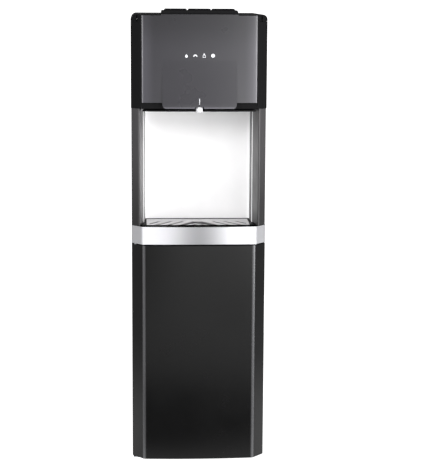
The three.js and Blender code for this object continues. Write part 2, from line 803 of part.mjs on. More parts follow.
// ---- Door ------------------------------------------------------------------------------

const DOOR_BACK = -140;
const GRIP = { z0: 300, z1: 390 };

function doorPanel() {
  const z = [DOOR_BOTTOM, DOOR_TOP];
  const outer = prism(frontOutline(CABINET_HALF, DOOR_FACE, DOOR_BACK), z);
  const inner = prism(frontOutline(CABINET_HALF, DOOR_FACE, DOOR_BACK + 5, WALL), [z[0] + WALL, z[1] - WALL]);
  const grip = box([144, CABINET_HALF + 1], [-142.9, DOOR_BACK + 1], [GRIP.z0, GRIP.z1]);
  const bore = barZ(HINGE.x, HINGE.y, [z[0] - 1, z[1] + 1], HINGE.boreR, HINGE.boreR, 16);
  return cut(outer, inner, grip, bore);
}

function doorLiner() {
  const y = [DOOR_BACK - 2.4, DOOR_BACK - 0.2];
  const plate = box([-140, 150], y, [DOOR_BOTTOM + 6, DOOR_TOP - 6]);
  const rib = box([-120, 120], [DOOR_BACK - 14, DOOR_BACK - 2], [240, 246]);
  const fingers = box([141, 151], [DOOR_BACK - 3, DOOR_BACK], [GRIP.z0, GRIP.z1]);
  return cut(join(plate, rib), fingers);
}

const CATCH_Z = [470, 500];

const doorMagnet = () => box([144.6, 150], [DOOR_BACK + 0.2, DOOR_BACK + 3], CATCH_Z);

const strikePlate = () => box([144.6, 153], [DOOR_BACK + 3.6, BODY_FRONT - GAP], CATCH_Z);

const LEAF_Z = 2.4; // underside of the lower hinge's leaf

function hingeLower() {
  const leaf = box([-152, -118], [-152, -117], [LEAF_Z, DOOR_BOTTOM - GAP]);
  const pad = box([-152, -118], [BODY_FRONT + 2, -117], [LEAF_Z, FOOT_TOP - GAP]);
  const z = [LEAF_Z + 1, DOOR_BOTTOM + WALL + 5];
  return join(leaf, pad, barZ(HINGE.x, HINGE.y, z, HINGE.pinR, HINGE.pinR, 16));
}

function hingeUpper() {
  const leaf = box([-149, -137], [-148.4, -140], [BAND_BOTTOM + 0.5, BAND_BOTTOM + 2.6]);
  const z = [DOOR_TOP - WALL - 5, BAND_BOTTOM + 10];
  return join(leaf, barZ(HINGE.x, HINGE.y, z, HINGE.pinR, HINGE.pinR, 16));
}

// ---- Assembly --------------------------------------------------------------------------

add("base_pan", basePan(), blackPlastic);
for (const [name, x, y] of FEET) add(name, foot(x, y), rubber);
add("side_panel_left", sidePanel(-1), paintedSteel);
add("side_panel_right", sidePanel(1), paintedSteel);
add("rear_panel", rearPanel(), paintedSteel);

add("bay_liner", bayLiner(), greyPlastic);
add("bay_ceiling", bayCeiling(), greyPlastic);
add("bottle_pad", bottlePad(), blackPlastic);
add("probe", probe(), whitePlastic);
add("probe_holder", probeHolder(), blackPlastic);
add("probe_hose", probeHose(), clearHose);

add("mid_shelf", midShelf(), galvanised);
add("tank_shelf", tankShelf(), galvanised);
add("tray_deck", trayDeck(), blackPlastic);
add("tray_band", trayBand(), chrome);
add("drip_tray", dripTray(), greyPlastic);
add("drip_grille", dripGrille(), greyPlastic);

add("column_left", column(-1), columnPlastic);
add("column_right", column(1), columnPlastic);
add("alcove_liner", alcoveLiner(), whitePlastic);
add("alcove_roof", alcoveRoof(), blackPlastic);

add("head_shell", headShell(), blackPlastic);
add("top_cover", topCover(), blackPlastic);
add("front_panel", frontPanel(), panelPlastic);
add("spout_hood", spoutHood(), panelPlastic);
add("spout_marker", spoutMarker(), whitePlastic);
add("spout", spout(), whitePlastic);
for (const [name, x] of INDICATORS) add(name, indicator(x), whitePlastic);

add("key_bezel", keyBezel(), blackPlastic);
add("key_hot", hotKey(), blackPlastic);
add("key_room", key(0), blackPlastic);
add("key_cold", key(KEY_PITCH), blackPlastic);
add("hot_lock", hotLock(), redPlastic);
add("valve_block", valveBlock(), whitePlastic);

add("compressor", compressor(), paintedSteel);
add("hot_tank", hotTank(), stainless);
add("cold_tank", coldTank(), stainless);
add("cold_foam", coldFoam(), foam);
add("pump", pump(), blackPlastic);

add("condenser", condenser(), paintedSteel);
add("wall_spacer_left", wallSpacer(-1), rubber);
add("wall_spacer_right", wallSpacer(1), rubber);
add("switch_plate", switchPlate(), blackPlastic);
Object.keys(SWITCH_X).forEach(rocker);
add("drain_spigot", drainSpigot(), whitePlastic);
add("drain_cap", drainCap(), whitePlastic);
add("cord_gland", cordGland(), rubber);

add("door_panel", doorPanel(), doorPlastic);
add("door_liner", doorLiner(), blackPlastic);
add("door_magnet", doorMagnet(), rubber);
add("strike_plate", strikePlate(), galvanised);
add("hinge_lower", hingeLower(), galvanised);
add("hinge_upper", hingeUpper(), galvanised);

export default dispenser;
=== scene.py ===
import math

import bmesh
import bpy
from mathutils import Euler, Matrix, Vector


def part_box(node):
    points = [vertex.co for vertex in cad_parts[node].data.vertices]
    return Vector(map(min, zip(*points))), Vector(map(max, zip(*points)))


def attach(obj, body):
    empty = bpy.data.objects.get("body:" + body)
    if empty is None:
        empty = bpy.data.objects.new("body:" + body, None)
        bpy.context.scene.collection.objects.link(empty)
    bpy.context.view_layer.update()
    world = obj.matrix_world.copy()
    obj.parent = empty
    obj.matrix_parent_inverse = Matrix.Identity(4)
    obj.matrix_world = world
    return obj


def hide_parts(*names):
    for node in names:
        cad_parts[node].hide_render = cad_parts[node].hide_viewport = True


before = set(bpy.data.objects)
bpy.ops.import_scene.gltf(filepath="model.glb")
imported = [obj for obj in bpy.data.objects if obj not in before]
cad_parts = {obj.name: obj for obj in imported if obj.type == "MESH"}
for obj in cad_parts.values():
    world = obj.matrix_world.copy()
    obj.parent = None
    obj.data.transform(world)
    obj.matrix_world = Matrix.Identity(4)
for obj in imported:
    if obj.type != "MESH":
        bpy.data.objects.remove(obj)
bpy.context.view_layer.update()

MM = 0.001

# ---- Driving sizes, in millimetres -----------------------------------------------------

CORNER_IN = 24.6  # how far a cut corner reaches in from the side of a front part
CORNER_BACK = 30  # how far it reaches back
BULGE = 5  # rise of the arched face at its middle
WALL = 3
KEY_PITCH = 54
ARC_STEPS = 40
MARKER_HALF = 0.8
PAPER_RADIUS = 400000  # far enough for its edge to pass for a horizon

# ---- Camera, in metres and degrees -----------------------------------------------------

LENS = 112.7
CAMERA_PLACE = (-0.138, -3.424, 1.08)
PITCH, YAW, ROLL = 9.26, 3.01, 0.29
FARTHEST = 1000


def span(node):
    """The low and high of a CAD node along x, y and z, in millimetres."""
    low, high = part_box(node)
    return [(low[i] / MM, high[i] / MM) for i in range(3)]


# ---- Outlines --------------------------------------------------------------------------


def arc(cx, cy, radius, start, end, steps=10):
    """Points of a circular arc between two angles in degrees."""
    points = []
    for i in range(steps + 1):
        angle = math.radians(start + (end - start) * i / steps)
        points.append((cx + radius * math.cos(angle), cy + radius * math.sin(angle)))
    return points


def fillet(corners, steps=8):
    """A closed outline from corners of x, y and radius, each rounded to its radius."""
    points = []
    for i, (x, y, radius) in enumerate(corners):
        if radius == 0:
            points.append((x, y))
            continue
        here = Vector((x, y))
        before = (Vector(corners[i - 1][:2]) - here).normalized()
        after = (Vector(corners[(i + 1) % len(corners)][:2]) - here).normalized()
        half = before.angle(after) / 2
        centre = here + (before + after).normalized() * (radius / math.sin(half))
        first = here + before * (radius / math.tan(half)) - centre
        last = here + after * (radius / math.tan(half)) - centre
        turn = first.angle_signed(last)
        for k in range(steps + 1):
            spin = Matrix.Rotation(-turn * k / steps, 2)
            points.append(tuple(centre + spin @ first))
    return points


def rectangle(x, y, radius=0):
    """A rounded rectangle between the pairs x and y."""
    corners = [(x[0], y[0]), (x[1], y[0]), (x[1], y[1]), (x[0], y[1])]
    return fillet([(a, b, radius) for a, b in corners])


def fall(x, half):
    """How far the arched face has fallen back at x, on a part of that half width."""
    return BULGE * (x / (half - CORNER_IN)) ** 2


def roll(x, half, reach=9, depth=2.3):
    """How far a face rolls back close to its side edges."""
    near = max(abs(x) - half + reach, 0) / reach
    return depth * (1 - math.sqrt(max(1 - near * near, 0)))


def front_outline(half, face, back, corner, inset=0, depth=0.0):
    """Plan of a front part: straight sides, cut corners and an arched face."""
    edge = half - CORNER_IN - inset * 0.6
    side_y = face + BULGE + CORNER_BACK - inset / 2
    reach = edge - corner * 0.6 - 0.2
    face_points = []
    for i in range(2 * ARC_STEPS + 1):
        x = reach * math.sin(math.pi / 2 * (i / ARC_STEPS - 1))
        face_points.append((x, face + inset + fall(x, half) + roll(x, edge, depth=depth), 0))
    corner_y = face + BULGE + inset + depth
    return fillet(
        [
            (-half + inset, back, 0),
            (-half + inset, side_y, 5),
            (-edge, corner_y, corner),
            *face_points,
            (edge, corner_y, corner),
            (half - inset, side_y, 5),
            (half - inset, back, 0),
        ]
    )


# ---- Meshes ----------------------------------------------------------------------------


def finish_mesh(name, bm):
    """Turns a bmesh in millimetres into an object in metres."""
    bmesh.ops.recalc_face_normals(bm, faces=bm.faces)
    bmesh.ops.scale(bm, vec=(MM, MM, MM), verts=bm.verts)
    for face in bm.faces:
        face.smooth = True
    mesh = bpy.data.meshes.new(name)
    bm.to_mesh(mesh)
    bm.free()
    obj = bpy.data.objects.new(name, mesh)
    bpy.context.scene.collection.objects.link(obj)
    return obj


PLACE = {
    "x": lambda a, b, t: (t, a, b),
    "y": lambda a, b, t: (a, t, b),
    "z": lambda a, b, t: (a, b, t),
}


def extrude(name, outline, axis, ends):
    """A closed outline carried along an axis. It is given as y, z or x, z or x, y."""
    bm = bmesh.new()
    place = PLACE[axis]
    rims = [[bm.verts.new(place(a, b, t)) for a, b in outline] for t in ends]
    for rim in rims:
        bm.faces.new(rim)
    count = len(outline)
    for i in range(count):
        j = (i + 1) % count
        bm.faces.new((rims[0][i], rims[0][j], rims[1][j], rims[1][i]))
    return finish_mesh(name, bm)


def block(name, x, y, z):
    """A box between three pairs, used as a cutter and as the core of bevelled pieces."""
    return extrude(name, rectangle(x, y), "z", z)


def lathe(name, profile, centre, axis="z", steps=56):
    """A profile of radius and height turned about an axis through centre."""
    bm = bmesh.new()
    rings = []
    for radius, height in profile:
        if radius == 0:
            rings.append([bm.verts.new((0, 0, height))] * steps)
            continue
        angles = [2 * math.pi * k / steps for k in range(steps)]
        ring = [(radius * math.cos(a), radius * math.sin(a), height) for a in angles]
        rings.append([bm.verts.new(p) for p in ring])
    for low, high in zip(rings, rings[1:]):
        for k in range(steps):
            j = (k + 1) % steps
            corners = list(dict.fromkeys((low[k], low[j], high[j], high[k])))
            if len(corners) > 2:
                bm.faces.new(corners)
    turn = {"z": Matrix(), "y": Matrix.Rotation(-math.pi / 2, 4, "X")}
    bmesh.ops.transform(bm, matrix=turn[axis], verts=bm.verts)
    bmesh.ops.translate(bm, vec=centre, verts=bm.verts)
    return finish_mesh(name, bm)


def tube(name, paths, radius, sides=6):
    """Round bars along open paths of points, as one mesh."""
    data = bpy.data.curves.new(name, "CURVE")
    data.dimensions = "3D"
    data.bevel_depth = radius * MM
    data.bevel_resolution = sides
    data.use_fill_caps = True
    for path in paths:
        spline = data.splines.new("POLY")
        spline.points.add(len(path) - 1)
        for point, (x, y, z) in zip(spline.points, path):
            point.co = (x * MM, y * MM, z * MM, 1)
    curve = bpy.data.objects.new(name, data)
    bpy.context.scene.collection.objects.link(curve)
    graph = bpy.context.evaluated_depsgraph_get()
    mesh = bpy.data.meshes.new_from_object(curve.evaluated_get(graph))
    bpy.data.objects.remove(curve)
    mesh.shade_smooth()
    obj = bpy.data.objects.new(name, mesh)
    bpy.context.scene.collection.objects.link(obj)
    return obj


def combine(obj, tool, operation):
    """Cuts, joins or intersects obj with tool, and removes the tool."""
    step = obj.modifiers.new(operation, "BOOLEAN")
    step.object = tool
    step.operation = operation
    step.solver = "EXACT"
    graph = bpy.context.evaluated_depsgraph_get()
    mesh = bpy.data.meshes.new_from_object(obj.evaluated_get(graph))
    obj.modifiers.clear()
    obj.data = mesh
    bpy.data.objects.remove(tool)
    return obj


def cut(obj, *tools):
    for tool in tools:
        combine(obj, tool, "DIFFERENCE")
    return obj


def soften(obj, width, segments=3, angle=35):
    """Rounds every edge sharper than the angle."""
    bevel = obj.modifiers.new("bevel", "BEVEL")
    bevel.width = width * MM
    bevel.segments = segments
    bevel.limit_method = "ANGLE"
    bevel.angle_limit = math.radians(angle)
    bevel.harden_normals = True
    return obj


def piece(obj, slot, stands_for=(), body="cabinet"):
    """Dresses a new piece in a slot's look and hangs it on its body."""
    obj.data.materials.clear()
    obj.data.materials.append(LOOKS[slot])
    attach(obj, body)
    if stands_for:
        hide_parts(*stands_for)
    return obj


def refined(node, slot, width, body="cabinet"):
    """The CAD node's own shape with its flat faces merged and its edges rounded."""
    bm = bmesh.new()
    bm.from_mesh(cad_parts[node].data)
    bmesh.ops.remove_doubles(bm, verts=bm.verts, dist=0.001 * MM)
    bmesh.ops.dissolve_limit(bm, angle_limit=math.radians(1), verts=bm.verts, edges=bm.edges)
    bmesh.ops.scale(bm, vec=(1 / MM,) * 3, verts=bm.verts)
    obj = finish_mesh("refined_" + node, bm)
    soften(obj, width, 2).modifiers["bevel"].harden_normals = False
    obj.modifiers.new("flat_faces", "WEIGHTED_NORMAL").keep_sharp = True
    return piece(obj, slot, (node,), body)


# ---- Materials -------------------------------------------------------------------------


class Shader:
    """A Principled material whose inputs are fed by noise in the part's own frame."""

    def __init__(self, name, base, roughness, metallic=0.0):
        self.material = bpy.data.materials.new(name)
        self.material.use_nodes = True
        self.nodes = self.material.node_tree.nodes
        self.links = self.material.node_tree.links
        self.bsdf = self.nodes["Principled BSDF"]
        self.bsdf.inputs["Metallic"].default_value = metallic
        self.bsdf.inputs["Roughness"].default_value = roughness
        self.bsdf.inputs["Base Color"].default_value = (*base, 1)
        self.base = base
        self.roughness = roughness
        self.where = self.nodes.new("ShaderNodeTexCoord").outputs["Object"]

    def set(self, **values):
        """Sets sockets by name, with underscores for spaces."""
        for name, value in values.items():
            self.bsdf.inputs[name.replace("_", " ")].default_value = value
        return self

    def ramp(self, axis, ends, values):
        """A smooth change between two values along an axis of the part's frame."""
        split = self.nodes.new("ShaderNodeSeparateXYZ")
        self.links.new(self.where, split.inputs["Vector"])
        change = self.nodes.new("ShaderNodeMapRange")
        change.interpolation_type = "SMOOTHSTEP"
        change.inputs["From Min"].default_value, change.inputs["From Max"].default_value = ends
        change.inputs["To Min"].default_value, change.inputs["To Max"].default_value = values
        self.links.new(split.outputs[axis], change.inputs["Value"])
        return change.outputs["Result"]

    def math(self, operation, first, second, third=0.0):
        node = self.nodes.new("ShaderNodeMath")
        node.operation = operation
        for socket, value in zip(node.inputs, (first, second, third)):
            if isinstance(value, float):
                socket.default_value = value
            else:
                self.links.new(value, socket)
        return node.outputs["Value"]

    def side(self, low, high, slope=0.0):
        """Rises from 0 to 1 as the distance from the middle plane goes from low to high."""
        split = self.nodes.new("ShaderNodeSeparateXYZ")
        self.links.new(self.where, split.inputs["Vector"])
        lean = self.math("MULTIPLY", split.outputs["Y"], slope)
        away = self.math("SUBTRACT", self.math("ABSOLUTE", split.outputs["X"], 0.0), lean)
        change = self.nodes.new("ShaderNodeMapRange")
        change.interpolation_type = "SMOOTHSTEP"
        change.inputs["From Min"].default_value = low
        change.inputs["From Max"].default_value = high
        self.links.new(away, change.inputs["Value"])
        return change.outputs["Result"]

    def pool(self, centre, radii, values):
        """A value that is low in an ellipse on the ground and rises to its rim."""
        place = self.nodes.new("ShaderNodeMapping")
        place.vector_type = "TEXTURE"
        place.inputs["Location"].default_value = (*centre, 0)
        place.inputs["Scale"].default_value = (*radii, 1)
        self.links.new(self.where, place.inputs["Vector"])
        distance = self.nodes.new("ShaderNodeVectorMath")
        distance.operation = "LENGTH"
        self.links.new(place.outputs["Vector"], distance.inputs[0])
        change = self.nodes.new("ShaderNodeMapRange")
        change.interpolation_type = "SMOOTHSTEP"
        change.inputs["From Min"].default_value = 0.4
        change.inputs["From Max"].default_value = 1.0
        change.inputs["To Min"].default_value, change.inputs["To Max"].default_value = values
        self.links.new(distance.outputs["Value"], change.inputs["Value"])
        return change.outputs["Result"]

    def shade(self, axis, reach, least):
        """Multiplies the colour, from least at the middle to 1 at reach on either side."""
        left = self.ramp(axis, (-reach, 0), (1, least))
        right = self.ramp(axis, (0, reach), (0, 1 - least))
        return self.multiply(self.math("ADD", left, right))

    def multiply(self, factor):
        """Multiplies the colour that the base colour has so far."""
        tint = self.nodes.new("ShaderNodeMix")
        tint.data_type = "RGBA"
        tint.blend_type = "MULTIPLY"
        tint.inputs["Factor"].default_value = 1
        colour = self.bsdf.inputs["Base Color"].links[0].from_socket
        self.links.new(colour, tint.inputs["A"])
        self.links.new(factor, tint.inputs["B"])
        self.links.new(tint.outputs["Result"], self.bsdf.inputs["Base Color"])
        return self

    def dim_ends(self, axis, ends, least):
        """Multiplies the colour by least beyond the ends, on both sides."""
        self.multiply(self.ramp(axis, ends, (1, least)))
        return self.multiply(self.ramp(axis, (-ends[1], -ends[0]), (least, 1)))

    def noise(self, scale, detail=2.0, stretch=(1, 1, 1)):
        mapping = self.nodes.new("ShaderNodeMapping")
        mapping.inputs["Scale"].default_value = stretch
        self.links.new(self.where, mapping.inputs["Vector"])
        texture = self.nodes.new("ShaderNodeTexNoise")
        texture.inputs["Scale"].default_value = scale
        texture.inputs["Detail"].default_value = detail
        self.links.new(mapping.outputs["Vector"], texture.inputs["Vector"])
        return texture.outputs["Fac"]

    def mottle(self, amount, scale=7.0, stretch=(1, 1, 1)):
        """Slow variation of colour about the base."""
        mix = self.nodes.new("ShaderNodeMix")
        mix.data_type = "RGBA"
        mix.inputs["A"].default_value = (*[c * (1 - amount) for c in self.base], 1)
        mix.inputs["B"].default_value = (*[c * (1 + amount) for c in self.base], 1)
        self.links.new(self.noise(scale, 4.0, stretch), mix.inputs["Factor"])
        self.links.new(mix.outputs["Result"], self.bsdf.inputs["Base Color"])
        return self

    def smudge(self, amount, scale=16.0, stretch=(1, 1, 1)):
        """Slow variation of roughness, as handling and cleaning leave it."""
        spread = self.nodes.new("ShaderNodeMapRange")
        spread.inputs["From Min"].default_value = 0.3
        spread.inputs["From Max"].default_value = 0.7
        spread.inputs["To Min"].default_value = self.roughness - amount
        spread.inputs["To Max"].default_value = self.roughness + amount
        self.links.new(self.noise(scale, 3.0, stretch), spread.inputs["Value"])
        self.links.new(spread.outputs["Result"], self.bsdf.inputs["Roughness"])
        return self

    def grain(self, scale, depth, stretch=(1, 1, 1), detail=1.0):
        """Moulded, brushed or sprayed texture as bump, with its depth in millimetres."""
        bump = self.nodes.new("ShaderNodeBump")
        bump.inputs["Strength"].default_value = 1.0
        bump.inputs["Distance"].default_value = depth * MM
        self.links.new(self.noise(scale, detail, stretch), bump.inputs["Height"])
        self.links.new(bump.outputs["Normal"], self.bsdf.inputs["Normal"])
        return self


def moulded(name, base, roughness, grain=0.012, specular=0.5):
    """Fine spark-eroded plastic."""
    look = Shader(name, base, roughness).set(Specular_IOR_Level=specular)
    return look.mottle(0.1).smudge(0.05).grain(1400, grain).material


def brushed(name, base, roughness, direction):
    """Metal with fine lines along one axis."""
    stretch = {"x": (6, 900, 900), "z": (900, 900, 6)}[direction]
    look = Shader(name, base, roughness, 1.0)
    look.mottle(0.05, 1.0, stretch).smudge(0.04, 1.0, stretch)
    return look.grain(1.0, 0.004, stretch).material


def column_grey():
    """Moulded plastic with painted shade that darkens it towards the tray."""
    look = Shader("column_grey", (0.034, 0.032, 0.034), 0.36)
    look.mottle(0.1).smudge(0.05).grain(1400, 0.012)
    # painted shade: the colour falls to a quarter towards the tray
    return look.multiply(look.ramp("Z", (0.55, 0.74), (0.25, 1))).material


def door_gloss():
    """Gloss lacquer with a painted highlight: a lighter, partly metallic line along each rolled side
    edge.
    """
    look = Shader("door_gloss", (0.0025, 0.0025, 0.0026), 0.25).set(Specular_IOR_Level=0.22)
    look.mottle(0.12, 9).smudge(0.03, 14).grain(260, 0.0016)
    # painted highlight along each rolled side edge: much lighter colour and some metallic
    line = look.math("MULTIPLY", look.side(0.1215, 0.1265), look.side(0.1302, 0.129))
    look.links.new(look.math("MULTIPLY", line, 0.5), look.bsdf.inputs["Metallic"])
    return look.multiply(look.math("MULTIPLY_ADD", line, 40.0, 1.0)).material


def satin_panel():
    """Satin plastic with painted highlights at its sides and along the hood's rim, and painted shade
    at its top.
    """
    look = Shader("satin_panel", (0.029, 0.028, 0.033), 0.28, 0.1)
    look.set(Specular_IOR_Level=0.6)
    look.mottle(0.03, 5).smudge(0.01, 12).grain(2200, 0.005)
    # painted highlights on the sides and the hood's rim, then painted shade towards the top
    edge = look.math("MULTIPLY_ADD", look.side(0.1, 0.128), 0.9, 1.0)
    look.multiply(edge).multiply(look.ramp("Z", (0.829, 0.8315), (2.6, 1)))
    return look.multiply(look.ramp("Z", (0.95, 1.03), (1, 0.6))).material


def bright_band():
    """Silver lacquer with painted shade: darker at the middle of its face and on its cut corners."""
    look = Shader("bright_band", (0.8, 0.8, 0.83), 0.22, 0.5)
    look.mottle(0.03, 1.0, (6, 900, 900)).smudge(0.03, 1.0, (6, 900, 900))
    # painted shade: a darker middle of the face and darker cut corners
    look.shade("X", 0.135, 0.26).dim_ends("X", (0.127, 0.135), 0.57)
    return look.grain(1.0, 0.003, (6, 900, 900)).material


def silver_plastic():
    """Silver lacquer with painted shade inside the grille's slots."""
    look = Shader("silver_plastic", (0.62, 0.61, 0.62), 0.38, 0.3)
    look.mottle(0.06, 30).smudge(0.05).grain(1500, 0.006)
    # painted shade below the grille's top face, in its slots
    return look.multiply(look.ramp("Z", (0.5532, 0.5546), (0.3, 1))).material


def powder_coat():
    look = Shader("painted_steel", (0.011, 0.011, 0.0125), 0.42).set(Specular_IOR_Level=0.4)
    return look.mottle(0.06, 6).smudge(0.02, 20).grain(420, 0.012, detail=2.0).material


def zinc():
    look = Shader("galvanised_steel", (0.5, 0.51, 0.53), 0.42, 1.0)
    return look.mottle(0.22, 60).smudge(0.1, 45).grain(500, 0.006).material


def foam_block():
    look = Shader("foam", (0.8, 0.79, 0.74), 0.9)
    return look.mottle(0.06, 260).grain(320, 0.25, detail=2.0).material


def lens_white():
    look = Shader("lens_white", (0.72, 0.73, 0.76), 0.35)
    return look.mottle(0.03).grain(900, 0.004).material


def silicone():
    look = Shader("clear_hose", (0.66, 0.7, 0.7), 0.3).set(Transmission_Weight=0.35, IOR=1.41)
    return look.mottle(0.05, 30).grain(600, 0.01).material


LOOKS = {
    "black_plastic": moulded("black_plastic", (0.003, 0.003, 0.0035), 0.55, 0.02, 0.09),
    "key_black": moulded("key_black", (0.003, 0.003, 0.0035), 0.5, 0.012, 0.05),
    "door_gloss": door_gloss(),
    "satin_panel": satin_panel(),
    "column_grey": column_grey(),
    "alcove_white": moulded("alcove_white", (0.94, 0.935, 0.94), 0.4, 0.004),
    "white_plastic": moulded("white_plastic", (0.66, 0.66, 0.68), 0.35, 0.004),
    "grey_plastic": moulded("grey_plastic", (0.09, 0.09, 0.095), 0.5, 0.02),
    "silver_plastic": silver_plastic(),
    "bright_band": bright_band(),
    "painted_steel": powder_coat(),
    "galvanised_steel": zinc(),
    "stainless_steel": brushed("stainless_steel", (0.58, 0.58, 0.6), 0.28, "z"),
    "foam": foam_block(),
    "rubber": moulded("rubber", (0.012, 0.012, 0.012), 0.75, 0.03, 0.3),
    "red_plastic": moulded("red_plastic", (0.42, 0.012, 0.01), 0.35, 0.006),
    "switch_green": moulded("switch_green", (0.01, 0.2, 0.045), 0.35, 0.006),
    "lens_white": lens_white(),
    "clear_hose": silicone(),
}

# ---- Door and tray band ----------------------------------------------------------------


def hollow_front(name, node, corner, floor, depth):
    """A front shell, open at the back. floor is the thickness of its top and bottom."""
    (_, half), (face, back), (z0, z1) = span(node)
    outside = front_outline(half, face, back, corner, 0, depth)
    inner = front_outline(half, face, back + 5, 1, WALL, depth)
    shell = extrude(name, outside, "z", (z0, z1))
    return cut(shell, extrude(name + "_core", inner, "z", (z0 + floor, z1 - floor)))


def door():
    shell = hollow_front("door_shell", "door_panel", 0.8, WALL, 2.3)
    grip = block("grip", (144, 156), (-142.9, -139), (300, 390))
    bore = lathe("bore", [(0, 0), (2.9, 0), (2.9, 520), (0, 520)], (-145.5, -146, 0))
    soften(cut(shell, grip, bore), 1.2)
    piece(shell, "door_gloss", ("door_panel",), "door")
    refined("door_liner", "black_plastic", 0.8, "door")
    refined("door_magnet", "rubber", 0.4, "door")


def band():
    shell = hollow_front("band_shell", "tray_band", 2, -1, 0.0)
    soften(shell, 1.0)
    piece(shell, "bright_band", ("tray_band",))


door()
band()

# ---- Head ------------------------------------------------------------------------------

HEAD_HALF = span("top_cover")[0][1]
PANEL_X, PANEL_Y, PANEL_Z = span("front_panel")
PANEL_FACE, PANEL_BACK = PANEL_Y
SHELL_FRONT = PANEL_BACK + 0.4
SHOULDER_Z = 1035  # the panel's top edge, either side of the keys
BEZEL_HALF = span("key_bezel")[0][1]


def head_outline(back):
    """Plan of the head's dark shell and cover, set back in the middle for the panel."""
    edge = HEAD_HALF - CORNER_IN + 0.6
    side_y = PANEL_FACE + BULGE + CORNER_BACK
    lip = PANEL_FACE + BULGE
    return fillet(
        [
            (-HEAD_HALF, back, 0),
            (-HEAD_HALF, side_y, 8),
            (-edge, lip, 1.2),
            (-edge + 0.4, SHELL_FRONT, 0),
            (edge - 0.4, SHELL_FRONT, 0),
            (edge, lip, 1.2),
            (HEAD_HALF, side_y, 8),
            (HEAD_HALF, back, 0),
        ]
    )


def head_shell():
    _, (_, back), (z0, z1) = span("head_shell")
    shell = extrude("head_side_shell", head_outline(back), "z", (z0, z1))
    half = HEAD_HALF - WALL
    core = rectangle((-half, half), (-140, back + 5))
    nose = rectangle((-124, 124), (SHELL_FRONT + WALL, -130))
    cut(shell, extrude("core", core, "z", (z0 - 1, z1 + 1)))
    cut(shell, extrude("nose", nose, "z", (z0 - 1, z1 + 1)))
    spout_x, spout_y, _ = span("spout")
    centre = (sum(spout_x) / 2, sum(spout_y) / 2, z0 - 5)
    cut(shell, lathe("hole", [(0, 0), (9.4, 0), (9.4, 12), (0, 12)], centre))
    soften(shell, 1.0)
    piece(shell, "black_plastic", ("head_shell",))


COVER_ROUND = 12


def top_cover():
    _, (_, back), (z0, z1) = span("top_cover")
    cover = extrude("cover_shell", head_outline(back), "z", (z0, z1))
    low, side = z1 - COVER_ROUND, HEAD_HALF - COVER_ROUND
    arch = [(-HEAD_HALF, z0 - 5), (HEAD_HALF, z0 - 5)]
    arch += arc(side, low, COVER_ROUND, 0, 90) + arc(-side, low, COVER_ROUND, 90, 180)
    combine(cover, extrude("arch", arch, "y", (-200, 200)), "INTERSECT")
    well = block("well", (-84, 84), (-169, -114), (z0 - 1, z1 + 1))
    cut(cover, block("under", (-142, 142), (-160, back - 8), (z0 - 1, z1 - WALL)), well)
    soften(cover, 2.2, 4)
    piece(cover, "black_plastic", ("top_cover",))


def arched_slab(name, half, z_rows, proud, back):
    """A slab with the panel's arched face, moved forward by proud(z) along its height."""
    bm = bmesh.new()
    xs = [half * math.sin(math.pi / 2 * (i / 40 - 1)) for i in range(81)]
    columns = len(xs) - 1
    front = []
    rear = []
    for z in z_rows:
        face = [PANEL_FACE + fall(x, HEAD_HALF) + roll(x, PANEL_X[1]) - proud(z) for x in xs]
        front.append([bm.verts.new((x, y, z)) for x, y in zip(xs, face)])
        rear.append([bm.verts.new((x, back, z)) for x in xs])
    for rows in (front, rear):
        for low, high in zip(rows, rows[1:]):
            for i in range(columns):
                bm.faces.new((low[i], low[i + 1], high[i + 1], high[i]))
    for row in (0, -1):
        for i in range(columns):
            f, r = front[row], rear[row]
            bm.faces.new((f[i], f[i + 1], r[i + 1], r[i]))
    for i in (0, -1):
        for k in range(len(z_rows) - 1):
            f0, f1, r0, r1 = front[k][i], front[k + 1][i], rear[k][i], rear[k + 1][i]
            bm.faces.new((f0, f1, r1, r0))
    return finish_mesh(name, bm)


def front_panel():
    rows = [PANEL_Z[0], PANEL_Z[1]]
    panel = arched_slab("satin_front", PANEL_X[1], rows, lambda z: 0, PANEL_BACK)
    for side in (-1, 1):
        x = sorted((side * BEZEL_HALF, side * 140))
        cut(panel, block("shoulder", x, (-190, -150), (SHOULDER_Z, PANEL_Z[1] + 5)))
    soften(panel, 0.8, 3)
    piece(panel, "satin_panel", ("front_panel",))


HOOD_TOP = 942  # where the hood has sunk into the panel
HOOD_ROUND = 9
HOOD_FULL = 834  # below this height the hood stands fully proud


def hood():
    """The tongue over the spout, which grows out of the panel in an easy curve."""
    (_, half), (front, _), (z0, _) = span("spout_hood")
    most = PANEL_FACE - front

    def proud(z):
        t = min(max((HOOD_TOP - z) / (HOOD_TOP - HOOD_FULL), 0), 1)
        return -0.15 + (most + 0.15) * t * (1 + t) / 2

    steps = 16
    curve = [HOOD_FULL + (HOOD_TOP - HOOD_FULL) * i / steps for i in range(steps + 1)]
    tongue = arched_slab("spout_tongue", half + 1, [z0 - 1, *curve], proud, PANEL_BACK - 3)
    corners = [(-half, HOOD_TOP + 5, 0), (-half, z0, HOOD_ROUND), (half, z0, HOOD_ROUND)]
    outline = fillet([*corners, (half, HOOD_TOP + 5, 0)])
    combine(tongue, extrude("trim", outline, "y", (-200, -150)), "INTERSECT")
    slit = block("slit", (-1.1, 1.1), (-190, PANEL_FACE - 0.5), (835.7, 850.3))
    notch = block("notch", (-9.6, 9.6), (-190, -150), (z0 - 2, z0 + 4))
    cut(tongue, slit, notch)
    soften(tongue, 0.9, 3)
    piece(tongue, "satin_panel", ("spout_hood",))


head_shell()
top_cover()
front_panel()
hood()

# ---- Alcove, columns and spout ---------------------------------------------------------


